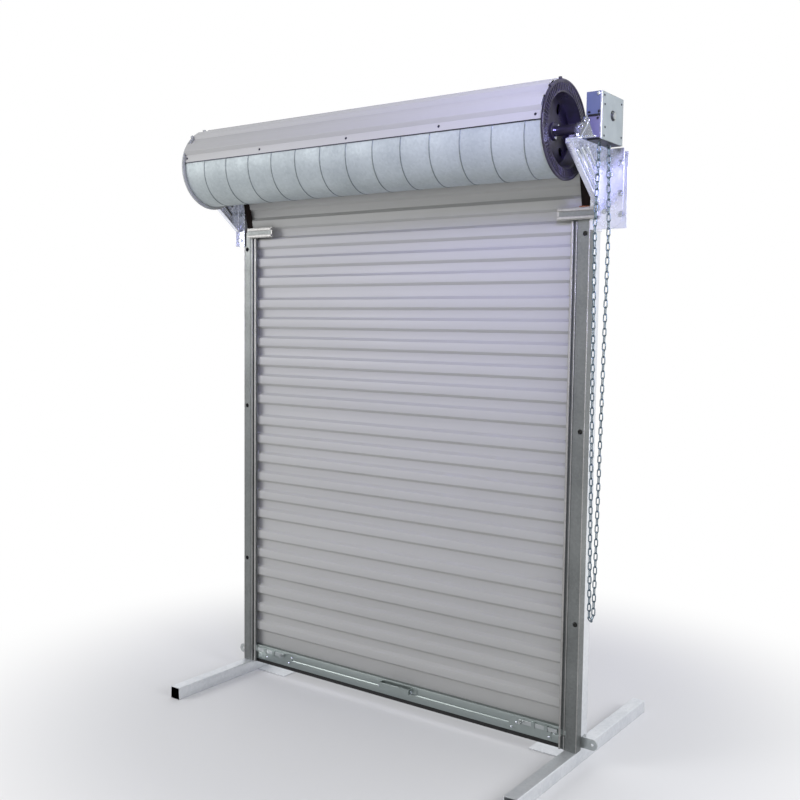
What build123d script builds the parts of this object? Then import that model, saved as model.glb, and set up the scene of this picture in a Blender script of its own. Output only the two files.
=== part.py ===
from build123d import *
from math import asin, atan2, cos, pi, radians, sin, sqrt
import os

# A rolling sheet door, closed, on the free-standing frame that displays it.
# Millimetres. X runs across the doorway, Y from the coil side to the wall side, Z up.
# The makers place things from the middle of the doorway and the centre line of the posts;
# write() then moves them so that the origin is the middle of the whole outline, on the floor.

# Doorway
clear_width = 1534          # between the lips of the two guides
guide_top = 2000            # height of the guides' upper ends above the floor

# Curtain, roll-formed sheets joined by seams
sheet_module = 520.7        # seam to seam
ribs_per_sheet = 6
seam_length = 12.5          # of each sheet, taken by the seam
rib_depth = 14
rib_ramp = 11               # length of the slope between a crest and a valley
crest_length = 32
curtain_thickness = 1.2
curtain_edge_in_guide = 61  # how far each edge reaches past the guide's lip
curtain_end_angle = 175     # where the curtain ends on the barrel, from the rear over the top
curtain_end_length = 30     # last flat, fixed to the barrel
curtain_wrap_gap = 0.3      # nearest the sheet's flats come to the barrel
first_crest = 73            # bottom edge to the first crest
curtain_lean_drop = 15      # the curtain leans forward from this far below the guides' tops

# Square tube of the frame
tube_size = 50.8
tube_wall = 2.5
foot_length = 1084
foot_middle = 40            # the feet's middle, behind the posts' centre line
post_rise = 195             # posts above the guides' tops

# Floor plates and base lugs
floor_plate_length = 163
floor_plate_width = 100
floor_plate_thickness = 4
lug_reach = 64
lug_height = 40
lug_thickness = 5
lug_return = 32
lug_hole_radius = 5.5
lug_lift = 11                # lug above the foot

# Guides, roll-formed channel
guide_depth = 38
guide_sheet = 2
guide_flat = 36             # outer flat of the face, the one with the holes
guide_strip = 14            # next strip, set back a little
guide_strip_setback = 1.7
guide_lip = 22              # last strip, set back more
guide_lip_setback = 5.7
guide_hem = 3.6             # folded edge of the lip, inward
access_hole_radius = 9.5
access_hole_first = 527
access_hole_spacing = 699
access_hole_count = 3

# Stop bars across the tops of the guides, not set alike on the two sides
stop_bar_reach_right = 48   # from the guide's lip inward, over the curtain
stop_bar_reach_left = 109
stop_bar_length = 149
stop_bar_height = 42
stop_bar_depth = 14
stop_bar_sheet = 2.5
stop_bar_rise = 15          # above the guides' tops
stop_slot_height = 9
stop_slot_end = 14          # solid length left at the slot's inner end

# Head plates and packers, which carry the brackets
head_plate_thickness = 5
head_plate_reach_right = 136  # from the post's side outward, wide enough for the hoist's bracket
head_plate_reach_left = 30
head_plate_drop = 64        # below the guides' tops
packer_width = 46
packer_thickness = 6

# Brackets, pressed gussets with folded edges: outward on the hoist's side, inward on the other
bracket_sheet = 3
bracket_offset = 30         # gusset from the guide's outer side
bracket_rise = 207          # above the guides' tops
bracket_depth = 262
bracket_nose = 16
bracket_heel_drop = 204     # top to the lower end of the sloping edge
bracket_heel_depth = 16
bracket_wall_drop = 269     # top to the bottom of the wall flange
bracket_edge_flange = 20
wall_flange_right = 91      # folded outward, with a round end
wall_flange_left = 40
top_flange_right = 45
top_flange_left = 28        # stops short of the drum wheel
swage_width = 16
swage_depth = 3
swage_lengths = (190, 150, 96)
swage_first = 34            # first swage from the sloping edge
swage_spacing = 32

# Axle and its clamps
axle_radius = 16.7
axle_wall = 3.2
axle_from_nose = 64         # the axle's centre behind the brackets' front edges
axle_overhang = 38          # past the left gusset
axle_in_hoist = 2           # into the hoist's base plate
clamp_seat = 22             # block under the axle
clamp_width = 84
clamp_length_right = 36
clamp_length_left = 31
clamp_peak = 50             # above the axle's centre line
clamp_ear = 6               # thickness of the ear
clamp_ear_radius = 11
clamp_eye_radius = 6
running_fit = 0.05          # radial clearance of axle and shaft in their bores

# Barrel and drum wheels
barrel_radius = 152
barrel_wall = 2
wheel_rim_radius = 164
wheel_rim_width = 6
wheel_spigot_depth = 20
wheel_spigot_wall = 5
wheel_fit = 0.3             # spigot inside the barrel
wheel_dish_radius = 122     # mouth of the dish, in the flange
wheel_dish_taper = 12       # the dish is this much narrower at its web
wheel_dish_depth = 42
wheel_web = 6
hub_radius = 36
hub_length = 46
wheel_slot_count = 4
wheel_slot_length = 46
wheel_slot_width = 15
wheel_slot_radius = 78
wheel_slot_corner = 5       # bevelled ends of the slots
wheel_tooth_count = 24      # radial ribs on the flange, round the dish
wheel_tooth_height = 20
wheel_tooth_width = 6
wheel_tooth_depth = 3
rim_gap = 2                 # curtain's edge to the rim

# Bottom bar
bar_height = 64
bar_bottom = 66
bar_depth = 24
bar_sheet = 2
bar_crease = 3
bar_past_curtain = 4        # bar's end past the curtain's edge
seal_height = 17
seal_depth = 16
seal_end_gap = 3            # seal's end to the foot

# Slide bolts on the bottom bar
bolt_plate_length = 180
bolt_plate_height = 56
bolt_plate_thickness = 1.5
bolt_plate_end_gap = 35      # plate's end to the guide's lip
bolt_lift = 14              # bolt above the bar's mid height
bolt_plate_bevel = 24       # cut-off corner, inner and lower
bolt_length = 160
bolt_height = 16
bolt_thickness = 4.4
bolt_gap = 0.4              # bolt in its keepers
bolt_end_gap = 9            # bolt's tip at rest to the guide's lip
bolt_travel = 32
keeper_length = 14
keeper_sheet = 2
keeper_inset = 20
keeper_clear = 6            # knob to the second keeper when the bolt is shot
knob_radius = 6
knob_length = 16
knob_inset = 10             # knob from the bolt's inner end
bolt_window_margin = 5      # window in the guide round the bolt

# Lift handle
handle_offset = 26          # from the doorway's middle
handle_span = 150
handle_stand_off = 26
handle_height = 22
handle_sheet = 3
handle_foot = 26

# Chain hoist, beside the right bracket
hoist_depth = 167           # along Y
hoist_height = 153
hoist_width = 52            # along X, base plate to cover
hoist_sheet = 3
hoist_cover_sheet = 4
hoist_panel_setback = 8     # lower front panel behind the case's front
hoist_panel_gap = 4         # panel's top edge below the case
hoist_tab = 30              # base plate round the axle, from its centre
hoist_lower_height = 78     # open lower part
wheel_axis_rise = 43        # pocket wheel's axis above the axle's
wheel_axis_back = 74        # and behind it
hoist_shaft_radius = 8
hoist_boss_radius = 11
hoist_boss_length = 7
pocket_wheel_width = 26
pocket_rim = 2              # flanges above the links' centre line
chain_guide_sheet = 3
chain_guide_hole = 30

# Hand chain, welded links
link_pitch = 24
link_wire = 4
link_width = 15
link_gap = 0.5
link_seat = 0.3             # links above the pocket wheel's waist and beside its flanges
wheel_pockets = 8
upper_links = 15            # links in each strand from the wheel to where it spreads most
lower_links = 55
chain_spread = 54           # half the distance between strands at the widest
chain_end_links = 2         # links across the bottom of the loop


# Places that follow from those sizes
rib_pitch = (sheet_module - seam_length) / ribs_per_sheet
guide_face = guide_flat + guide_strip + guide_lip
guide_inner_x = clear_width / 2
guide_outer_x = guide_inner_x + guide_face
post_x = guide_outer_x - tube_size / 2
post_top = guide_top + post_rise
guide_back_y = -tube_size / 2
guide_front_y = guide_back_y - guide_depth
lip_back_y = guide_front_y + guide_lip_setback + guide_sheet
web_front_y = guide_back_y - guide_sheet
slot_middle_y = (lip_back_y + web_front_y) / 2
head_front_y = guide_front_y - head_plate_thickness
head_plate_bottom = guide_top - head_plate_drop
bracket_top = guide_top + bracket_rise
bracket_nose_y = head_front_y - bracket_depth
bracket_heel_y = head_front_y - bracket_heel_depth
bracket_nose_z = bracket_top - bracket_nose
bracket_heel_z = bracket_top - bracket_heel_drop
gusset_x = guide_outer_x + bracket_offset
gusset_outer_x = gusset_x + bracket_sheet
bar_top = bar_bottom + bar_height
bar_front_y = slot_middle_y - bar_depth / 2
bolt_z = bar_bottom + bar_height / 2 + bolt_lift
bolt_front_y = bar_front_y - bolt_plate_thickness - bolt_gap - bolt_thickness
bolt_x = guide_inner_x - bolt_end_gap - bolt_length
knob_x = bolt_x + knob_inset
keeper_x = knob_x + bolt_travel + knob_radius + keeper_clear + keeper_length / 2

# The curtain rises between the guides, leans forward to the roll and wraps over it
curtain_half_width = guide_inner_x + curtain_edge_in_guide
curtain_y = slot_middle_y
curtain_seat_radius = sqrt((barrel_radius + curtain_wrap_gap) ** 2 + (crest_length / 2) ** 2)
curtain_radius = curtain_seat_radius + rib_depth / 2 + curtain_thickness / 2
axle_y = bracket_nose_y + axle_from_nose
axle_z = bracket_top + clamp_seat + axle_radius
lean_start_z = guide_top - curtain_lean_drop
axle_distance = sqrt((axle_y - curtain_y) ** 2 + (axle_z - lean_start_z) ** 2)
lean_length = sqrt(axle_distance ** 2 - curtain_radius ** 2)
lean_angle = atan2(axle_z - lean_start_z, axle_y - curtain_y) - asin(curtain_radius / axle_distance)
rise_length = lean_start_z - bar_top
wrap_start = lean_angle - pi / 2
wrap_length = (radians(curtain_end_angle) - wrap_start) * curtain_radius
curtain_length = rise_length + lean_length + wrap_length

# Drum wheels and hoist
wheel_inner_x = curtain_half_width + rim_gap
wheel_outer_x = wheel_inner_x + wheel_rim_width
hoist_inner_x = gusset_x + top_flange_right
hoist_outer_x = hoist_inner_x + hoist_width
hoist_bottom = bracket_top - bracket_sheet
wheel_pitch_radius = link_pitch / (2 * sin(pi / wheel_pockets))
wheel_y = axle_y + wheel_axis_back
wheel_z = axle_z + wheel_axis_rise
hoist_back_y = wheel_y + hoist_depth / 2
hoist_front_y = hoist_back_y - hoist_depth
chain_x = (hoist_inner_x + hoist_sheet + hoist_outer_x) / 2
upper_drop = sqrt((upper_links * link_pitch) ** 2 - (chain_spread - wheel_pitch_radius) ** 2)

# The whole outline, whose middle is the origin
outline_right = hoist_outer_x + hoist_cover_sheet + hoist_boss_length
outline_left = gusset_outer_x + axle_overhang
origin_x = (outline_right - outline_left) / 2
origin_y = foot_middle


def block(x0, x1, y0, y1, z0, z1):
    """A box between two corners."""
    return Pos((x0 + x1) / 2, (y0 + y1) / 2, (z0 + z1) / 2) * Box(x1 - x0, y1 - y0, z1 - z0)


def plate_xz(outline, y0, y1):
    """An outline drawn as X, Z points, from y0 back to y1."""
    face = make_face(Polyline([(x, y0, z) for x, z in outline], close=True))
    return extrude(face, y1 - y0, dir=(0, 1, 0))


def plate_yz(outline, x0, x1):
    """An outline drawn as Y, Z points, from x0 out to x1."""
    face = make_face(Polyline([(x0, y, z) for y, z in outline], close=True))
    return extrude(face, x1 - x0, dir=(1, 0, 0))


def rod_x(radius, x0, x1, y, z):
    """A round bar along X."""
    return Pos((x0 + x1) / 2, y, z) * Rot(0, 90, 0) * Cylinder(radius, x1 - x0)


def rod_y(radius, y0, y1, x, z):
    """A round bar along Y."""
    return Pos(x, (y0 + y1) / 2, z) * Rot(90, 0, 0) * Cylinder(radius, y1 - y0)


def square_tube(length):
    """Square tube along Z, centred, open at both ends."""
    return Box(tube_size, tube_size, length) - Box(tube_size - 2 * tube_wall, tube_size - 2 * tube_wall, length + 2)


def foot():
    """Square tube on the floor, fore and aft under the post."""
    return Pos(post_x, foot_middle, tube_size / 2) * Rot(90, 0, 0) * square_tube(foot_length)


def post():
    """Square tube that stands on the foot behind the guide."""
    length = post_top - tube_size
    return Pos(post_x, 0, tube_size + length / 2) * square_tube(length)


def floor_plate():
    """Flat plate on the floor, from the foot inward."""
    inner = post_x - tube_size / 2
    return block(inner - floor_plate_length, inner, guide_back_y, guide_back_y + floor_plate_width,
                 0, floor_plate_thickness)


def base_lug():
    """Angle tab on the post's outer side, with a rounded end and a bolt hole."""
    middle = tube_size + lug_lift + lug_height / 2
    tip_x = guide_outer_x + lug_reach - lug_height / 2
    front = guide_back_y
    tab = block(guide_outer_x, tip_x, front, front + lug_thickness, middle - lug_height / 2, middle + lug_height / 2)
    tab += rod_y(lug_height / 2, front, front + lug_thickness, tip_x, middle)
    tab -= rod_y(lug_hole_radius, front - 1, front + lug_thickness + 1, tip_x, middle)
    side = block(guide_outer_x, guide_outer_x + lug_thickness, front, front + lug_return,
                 middle - lug_height / 2, middle + lug_height / 2)
    return tab + side


def guide():
    """Roll-formed channel: back web, outer side, and a face that steps back to a hemmed lip."""
    xo, xi, t = guide_outer_x, guide_inner_x, guide_sheet
    yb, yf = guide_back_y, guide_front_y
    x1 = xo - guide_flat
    x2 = x1 - guide_strip
    y1 = yf + guide_strip_setback
    y2 = yf + guide_lip_setback
    outline = [(xi, yb), (xo, yb), (xo, yf), (x1, yf), (x1, y1), (x2, y1), (x2, y2), (xi, y2),
               (xi, y2 + guide_hem), (xi + t, y2 + guide_hem), (xi + t, y2 + t), (x2 + t, y2 + t), (x2 + t, y1 + t),
               (x1 + t, y1 + t), (x1 + t, yf + t), (xo - t, yf + t), (xo - t, yb - t), (xi, yb - t)]
    face = make_face(Polyline([(x, y, tube_size) for x, y in outline], close=True))
    channel = extrude(face, guide_top - tube_size, dir=(0, 0, 1))
    hole_x = xo - guide_flat / 2
    for i in range(access_hole_count):
        z = access_hole_first + i * access_hole_spacing
        channel -= rod_y(access_hole_radius, yf - 1, yf + t + 1, hole_x, z)
    return channel - bolt_window()


def bolt_window():
    """Opening in the guide's lip that the slide bolt enters."""
    half = bolt_height / 2 + bolt_window_margin
    reach = bolt_travel - bolt_end_gap + bolt_window_margin
    z0, z1 = bolt_z - half, bolt_z + half
    return block(guide_inner_x - 1, guide_inner_x + reach, guide_front_y - 1, lip_back_y + guide_hem, z0, z1)


def stop_bar(reach, y1):
    """Slotted channel across the top of the guide's face, from its reach and the face it is bolted to."""
    x0 = guide_inner_x - reach
    x1 = x0 + stop_bar_length
    y0 = y1 - stop_bar_depth
    z1 = guide_top + stop_bar_rise
    z0 = z1 - stop_bar_height
    t = stop_bar_sheet
    bar = block(x0, x1, y0, y1, z0, z1) - block(x0 - 1, x1 + 1, y0 + t, y1 + 1, z0 + t, z1 - t)
    r = stop_slot_height / 2
    slot_x = x0 + stop_slot_end + r
    z = (z0 + z1) / 2
    slot = block(slot_x, x1 + 1, y0 - 1, y0 + t + 1, z - r, z + r) + rod_y(r, y0 - 1, y0 + t + 1, slot_x, z)
    return bar - slot


def head_packer():
    """Strip on top of the guide, in front of the post."""
    return block(guide_outer_x - packer_width, guide_outer_x, guide_back_y - packer_thickness, guide_back_y,
                 guide_top, post_top)


def head_plate(reach):
    """Angle on the side of guide, packer and post: one leg back, one leg outward behind the bracket."""
    x0 = guide_outer_x
    t = head_plate_thickness
    side = block(x0, x0 + t, head_front_y, tube_size / 2, head_plate_bottom, post_top)
    front = block(x0, x0 + reach, head_front_y, guide_front_y, head_plate_bottom, post_top)
    return side + front


def slope_run():
    """Length of the gusset's sloping edge and its direction as Y, Z."""
    dy, dz = bracket_heel_y - bracket_nose_y, bracket_heel_z - bracket_nose_z
    run = sqrt(dy ** 2 + dz ** 2)
    return run, dy / run, dz / run


def swage(length, width, offset):
    """Outline of a long pressed rib with bevelled ends, parallel to the gusset's sloping edge."""
    run, uy, uz = slope_run()
    cy = (bracket_nose_y + bracket_heel_y) / 2 - uz * offset
    cz = (bracket_nose_z + bracket_heel_z) / 2 + uy * offset
    tilt = Plane(origin=(0, cy, cz), x_dir=(0, uy, uz), z_dir=(1, 0, 0))
    half, flat, w = length / 2, length / 2 - width * 0.35, width / 2
    points = [(-half, 0), (-flat, -w), (flat, -w), (half, 0), (flat, w), (-flat, w)]
    return tilt * make_face(Polyline(points, close=True))


def fold(side, width):
    """X range of a flange folded from the gusset: side 1 outward, -1 inward."""
    if side > 0:
        return gusset_x, gusset_x + width
    return gusset_outer_x - width, gusset_outer_x


def bracket(side, wall_width, top_width, round_end):
    """Pressed gusset: folded top, sloping edge and wall flange, with swages along the slope."""
    t = bracket_sheet
    yw = head_front_y
    wall_bottom = bracket_top - bracket_wall_drop
    web_bottom = wall_bottom + round_end
    outline = [(yw, bracket_top), (bracket_nose_y, bracket_top), (bracket_nose_y, bracket_nose_z),
               (bracket_heel_y, bracket_heel_z), (bracket_heel_y, web_bottom), (yw, web_bottom)]
    body = plate_yz(outline, gusset_x, gusset_outer_x)
    run, uy, uz = slope_run()
    slope = [(bracket_nose_y, bracket_nose_z), (bracket_heel_y, bracket_heel_z),
             (bracket_heel_y - uz * t, bracket_heel_z + uy * t), (bracket_nose_y - uz * t, bracket_nose_z + uy * t)]
    x0, x1 = fold(side, top_width)
    body += block(x0, x1, bracket_nose_y, yw, bracket_top - t, bracket_top)
    x0, x1 = fold(side, bracket_edge_flange)
    body += plate_yz(slope, x0, x1)
    x0, x1 = fold(side, wall_width)
    body += block(x0, x1, yw - t, yw, web_bottom, bracket_top)
    if round_end:
        body += rod_y(round_end, yw - t, yw, (x0 + x1) / 2, web_bottom)
    for i, length in enumerate(swage_lengths):
        offset = swage_first + i * swage_spacing
        raised = swage(length + 2 * t, swage_width + 2 * t, offset)
        hollow = swage(length, swage_width, offset)
        if side > 0:
            body += Pos(gusset_outer_x - t / 2, 0, 0) * extrude(raised, swage_depth + t / 2, dir=(1, 0, 0))
            body -= Pos(gusset_x - 1, 0, 0) * extrude(hollow, swage_depth + 1, dir=(1, 0, 0))
        else:
            body += Pos(gusset_x - swage_depth, 0, 0) * extrude(raised, swage_depth + t / 2, dir=(1, 0, 0))
            body -= Pos(gusset_outer_x - swage_depth, 0, 0) * extrude(hollow, swage_depth + 1, dir=(1, 0, 0))
    return body


def axle_clamp(x1, length):
    """Block that seats the axle on the bracket's top, with a peaked ear above it at its outer end."""
    x0 = x1 - length
    half = clamp_width / 2
    seat = block(x0, x1, axle_y - half, axle_y + half, bracket_top, axle_z + clamp_seat / 2)
    peak = axle_z + clamp_peak
    ear = plate_yz([(axle_y - half, bracket_top), (axle_y + half, bracket_top), (axle_y + clamp_ear_radius, peak),
                    (axle_y - clamp_ear_radius, peak)], x1 - clamp_ear, x1)
    ear -= rod_x(clamp_eye_radius, x0, x1 + 1, axle_y, peak - clamp_ear_radius)
    hole = rod_x(axle_radius + running_fit, x0 - 1, x1 + 1, axle_y, axle_z)
    return seat + ear - hole


def axle():
    """Pipe that carries the barrel, from past the left gusset into the hoist."""
    x0, x1 = -outline_left, hoist_inner_x + axle_in_hoist
    return rod_x(axle_radius, x0, x1, axle_y, axle_z) - rod_x(axle_radius - axle_wall, x0 - 1, x1 + 1, axle_y, axle_z)


def barrel():
    """Lock-seam tube that the curtain is fixed to and winds on."""
    return (rod_x(barrel_radius, -curtain_half_width, curtain_half_width, axle_y, axle_z)
            - rod_x(barrel_radius - barrel_wall, -curtain_half_width - 1, curtain_half_width + 1, axle_y, axle_z))


def drum_wheel():
    """Dished wheel: flange with radial ribs, spigot in the barrel, tapered dish, slotted web and hub."""
    flange, rim = wheel_inner_x, wheel_outer_x
    spigot = barrel_radius - barrel_wall - wheel_fit
    spigot_end = flange - wheel_spigot_depth
    mouth = wheel_dish_radius
    floor = mouth - wheel_dish_taper
    web_out = rim - wheel_dish_depth
    web_in = web_out - wheel_web
    bore = axle_radius + running_fit
    hub_out = web_in + hub_length
    outline = [(web_in, bore), (hub_out, bore), (hub_out, hub_radius), (web_out, hub_radius), (web_out, floor),
               (rim, mouth), (rim, wheel_rim_radius), (flange, wheel_rim_radius), (flange, spigot),
               (spigot_end, spigot), (spigot_end, spigot - wheel_spigot_wall), (web_in, floor + wheel_web)]
    face = make_face(Polyline([(x, axle_y + r, axle_z) for x, r in outline], close=True))
    wheel = revolve(face, Axis((0, axle_y, axle_z), (1, 0, 0)))
    centre = Pos(0, axle_y, axle_z)
    window = Rectangle(wheel_slot_length, wheel_slot_width)
    slot = extrude(Plane.YZ * chamfer(window.vertices(), wheel_slot_corner), wheel_web + 2)
    for i in range(wheel_slot_count):
        angle = 45 + i * 360 / wheel_slot_count
        wheel -= centre * Rot(angle, 0, 0) * Pos(web_in - 1, 0, wheel_slot_radius) * slot
    rib = block(rim - 1, rim + wheel_tooth_depth, -wheel_tooth_width / 2, wheel_tooth_width / 2,
                mouth + 1, mouth + wheel_tooth_height)
    for i in range(wheel_tooth_count):
        wheel += centre * Rot(i * 360 / wheel_tooth_count, 0, 0) * rib
    return wheel


def curtain_path(s, offset):
    """Y and Z of a point s along the curtain from its bottom edge, offset to the wall side."""
    if s <= rise_length:
        return curtain_y + offset, bar_top + s
    if s <= rise_length + lean_length:
        along = s - rise_length
        return (curtain_y + along * cos(lean_angle) + offset * sin(lean_angle),
                lean_start_z + along * sin(lean_angle) - offset * cos(lean_angle))
    angle = wrap_start + (s - rise_length - lean_length) / curtain_radius
    r = curtain_radius + offset
    return axle_y + r * cos(angle), axle_z + r * sin(angle)


def rib_stations():
    """Where the curtain bends: distance along it and side, -1 for the coil side, 1 for the wall side."""
    end = curtain_length
    last = end - curtain_end_length - 2 * rib_ramp
    stations = [(0, 1)]
    start = first_crest
    while start < last:
        crests = [start + i * rib_pitch for i in range(ribs_per_sheet)]
        for s in [s for s in crests if s + crest_length + rib_ramp < last]:
            stations += [(s - rib_ramp, 1), (s, -1), (s + crest_length, -1), (s + crest_length + rib_ramp, 1)]
        start += sheet_module
    return stations + [(end - curtain_end_length - rib_ramp, 1), (end - curtain_end_length, -1), (end, -1)]


def curtain():
    """The corrugated sheet, up between the guides, over the barrel and down to its fixed edge."""
    half = curtain_thickness / 2
    depth = rib_depth / 2
    rear = [curtain_path(s, side * depth + half) for s, side in rib_stations()]
    front = [curtain_path(s, side * depth - half) for s, side in rib_stations()]
    return plate_yz(rear + front[::-1], -curtain_half_width, curtain_half_width)


def bottom_bar():
    """Folded channel along the curtain's lower edge, creased at mid height, open at the back."""
    t = bar_sheet
    y0 = bar_front_y
    y1 = y0 + bar_depth
    z0, z1 = bar_bottom, bar_top
    middle = (z0 + z1) / 2
    half = curtain_half_width + bar_past_curtain
    outline = [(y1, z0), (y0, z0), (y0, middle - bar_crease), (y0 + bar_crease, middle), (y0, middle + bar_crease),
               (y0, z1), (y1, z1), (y1, z1 - t), (y0 + t, z1 - t), (y0 + t, middle + bar_crease + 1),
               (y0 + t + bar_crease, middle), (y0 + t, middle - bar_crease - 1), (y0 + t, z0 + t), (y1, z0 + t)]
    return plate_yz(outline, -half, half)


def bottom_seal():
    """Rubber strip under the bottom bar, between the feet."""
    half = post_x - tube_size / 2 - seal_end_gap
    y = slot_middle_y
    return block(-half, half, y - seal_depth / 2, y + seal_depth / 2, bar_bottom - seal_height, bar_bottom)


def bolt_plate():
    """Backing plate of a slide bolt, with two keepers over the bolt."""
    x1 = guide_inner_x - bolt_plate_end_gap
    x0 = x1 - bolt_plate_length
    y1 = bar_front_y
    y0 = y1 - bolt_plate_thickness
    z = bolt_z
    z0 = bar_bottom + (bar_height - bolt_plate_height) / 2
    z1 = z0 + bolt_plate_height
    bevel = bolt_plate_bevel
    plate = plate_xz([(x0, z1), (x1, z1), (x1, z0), (x0 + 2 * bevel, z0), (x0, z0 + bevel)], y0, y1)
    inner = bolt_height / 2 + bolt_gap
    outer = inner + keeper_sheet
    face = bolt_front_y - bolt_gap
    for x in (x1 - keeper_inset, keeper_x):
        keeper = block(x - keeper_length / 2, x + keeper_length / 2, face - keeper_sheet, y0, z - outer, z + outer)
        keeper -= block(x - keeper_length, x + keeper_length, face, y0 + 0.01, z - inner, z + inner)
        plate += keeper
    return plate


def slide_bolt():
    """Flat bolt with a turned knob, drawn back clear of the guide."""
    y0 = bolt_front_y
    z0 = bolt_z - bolt_height / 2
    bar = block(bolt_x, bolt_x + bolt_length, y0, y0 + bolt_thickness, z0, z0 + bolt_height)
    return bar + rod_y(knob_radius, y0 - knob_length, y0, knob_x, bolt_z)


def lift_handle():
    """Bent strap at the middle of the bottom bar."""
    t = handle_sheet
    y1 = bar_front_y
    y0 = y1 - handle_stand_off
    z0 = bolt_z - handle_height / 2
    z1 = z0 + handle_height
    half = handle_span / 2
    strap = block(-half, half, y0, y1, z0, z1) - block(-half + t, half - t, y0 + t, y1 + 1, z0 - 1, z1 + 1)
    for side in (-1, 1):
        strap += block(min(side * half, side * (half + handle_foot)), max(side * half, side * (half + handle_foot)),
                       y1 - t, y1, z0, z1)
    return Pos(handle_offset, 0, 0) * strap


def hoist_housing():
    """Base plate beside the bracket, the closed upper half of the gear case and a lower front panel."""
    x0, x1, t = hoist_inner_x, hoist_outer_x, hoist_sheet
    y0, y1 = hoist_front_y, hoist_back_y
    z0, z1 = hoist_bottom, hoist_bottom + hoist_height
    zm = z0 + hoist_lower_height
    case = block(x0, x0 + t, y0, y1, z0, z1)
    upper = block(x0, x1, y0, y1, zm, z1) - block(x0 + t, x1 + 1, y0 + t, y1 - t, zm - 1, z1 - t)
    panel_y = y0 + hoist_panel_setback
    panel = block(x0 + t, x1, panel_y, panel_y + t, z0, zm - hoist_panel_gap)
    tab = block(x0, x0 + t, axle_y - hoist_tab, y0, z0, axle_z + hoist_tab)
    case += upper + panel + tab
    case -= rod_x(axle_radius + running_fit, x0 - 1, x0 + t + 1, axle_y, axle_z)
    return case - rod_x(hoist_shaft_radius + running_fit, x0 - 1, x0 + t + 1, wheel_y, wheel_z)


def hoist_cover():
    """Plate over the outer side of the gear case."""
    x0 = hoist_outer_x
    z0 = hoist_bottom
    cover = block(x0, x0 + hoist_cover_sheet, hoist_front_y, hoist_back_y, z0, z0 + hoist_height)
    return cover - rod_x(hoist_shaft_radius + running_fit, x0 - 1, x0 + hoist_cover_sheet + 1, wheel_y, wheel_z)


def wheel_shaft():
    """Shaft of the pocket wheel, with its boss outside the cover."""
    x1 = hoist_outer_x + hoist_cover_sheet
    shaft = rod_x(hoist_shaft_radius, hoist_inner_x, x1, wheel_y, wheel_z)
    return shaft + rod_x(hoist_boss_radius, x1, x1 + hoist_boss_length, wheel_y, wheel_z)


def pocket_wheel():
    """Wheel that drives the chain: two flanges and a waist with a flat for each link to lie on."""
    half = pocket_wheel_width / 2
    waist = wheel_pitch_radius * cos(pi / wheel_pockets) - link_width / 2 - link_seat
    inner = link_width / 2 + link_seat
    section = RegularPolygon(waist, wheel_pockets, major_radius=False)
    rim = RegularPolygon(wheel_pitch_radius + pocket_rim, 3 * wheel_pockets)
    wheel = extrude(Plane.YZ * section, half, both=True)
    for side in (-1, 1):
        wheel += Pos(side * (inner + half) / 2, 0, 0) * extrude(Plane.YZ * rim, (half - inner) / 2, both=True)
    bore = rod_x(hoist_shaft_radius + running_fit, -half - 1, half + 1, 0, 0)
    return Pos(chain_x, wheel_y, wheel_z) * (wheel - bore)


def chain_guide():
    """Plate under the wheel with a square opening for each strand."""
    x0, x1 = hoist_inner_x + hoist_sheet, hoist_outer_x
    strand = wheel_pitch_radius + (chain_spread - wheel_pitch_radius) * (wheel_z - hoist_bottom) / upper_drop
    y0 = hoist_front_y + hoist_panel_setback + hoist_sheet
    plate = block(x0, x1, y0, hoist_back_y, hoist_bottom, hoist_bottom + chain_guide_sheet)
    for side in (-1, 1):
        opening = Box(chain_guide_hole, chain_guide_hole, 4 * chain_guide_sheet)
        plate -= Pos(chain_x, wheel_y + side * strand, hoist_bottom) * opening
    return plate


def chain_link():
    """One link along Z in the YZ plane: four lengths of square bar on edge, mitred at the corners."""
    half_width = (link_width - link_wire) / 2
    half_length = (link_pitch + link_gap + link_wire) / 2
    corners = [(0, half_width, half_length), (0, -half_width, half_length),
               (0, -half_width, -half_length), (0, half_width, -half_length)]
    section = Plane(origin=(0, 0, half_length), x_dir=(1, 0, 0), z_dir=(0, 1, 0)) * RegularPolygon(link_wire / 2, 4)
    return sweep(section, path=Polyline(corners, close=True), transition=Transition.RIGHT)


def chain_joints():
    """Where the links meet, as Y, Z points round the loop."""
    r = wheel_pitch_radius
    turn = 2 * pi / wheel_pockets
    joints = []
    for i in range(wheel_pockets // 2):
        angle = pi - i * turn
        joints.append((wheel_y + r * cos(angle), wheel_z + r * sin(angle)))
    end_half = link_pitch / (2 * sin(pi / (2 * chain_end_links)))
    lower_drop = sqrt((lower_links * link_pitch) ** 2 - (chain_spread - end_half) ** 2)
    z1 = wheel_z - upper_drop
    z2 = z1 - lower_drop
    for i in range(upper_links):
        k = i / upper_links
        joints.append((wheel_y + r + k * (chain_spread - r), wheel_z - k * upper_drop))
    for i in range(lower_links):
        k = i / lower_links
        joints.append((wheel_y + chain_spread + k * (end_half - chain_spread), z1 - k * lower_drop))
    for i in range(chain_end_links):
        angle = -i * pi / chain_end_links
        joints.append((wheel_y + end_half * cos(angle), z2 + end_half * sin(angle)))
    for i in range(lower_links):
        k = i / lower_links
        joints.append((wheel_y - end_half - k * (chain_spread - end_half), z2 + k * lower_drop))
    for i in range(upper_links):
        k = i / upper_links
        joints.append((wheel_y - chain_spread + k * (chain_spread - r), z1 + k * upper_drop))
    return joints


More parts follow.
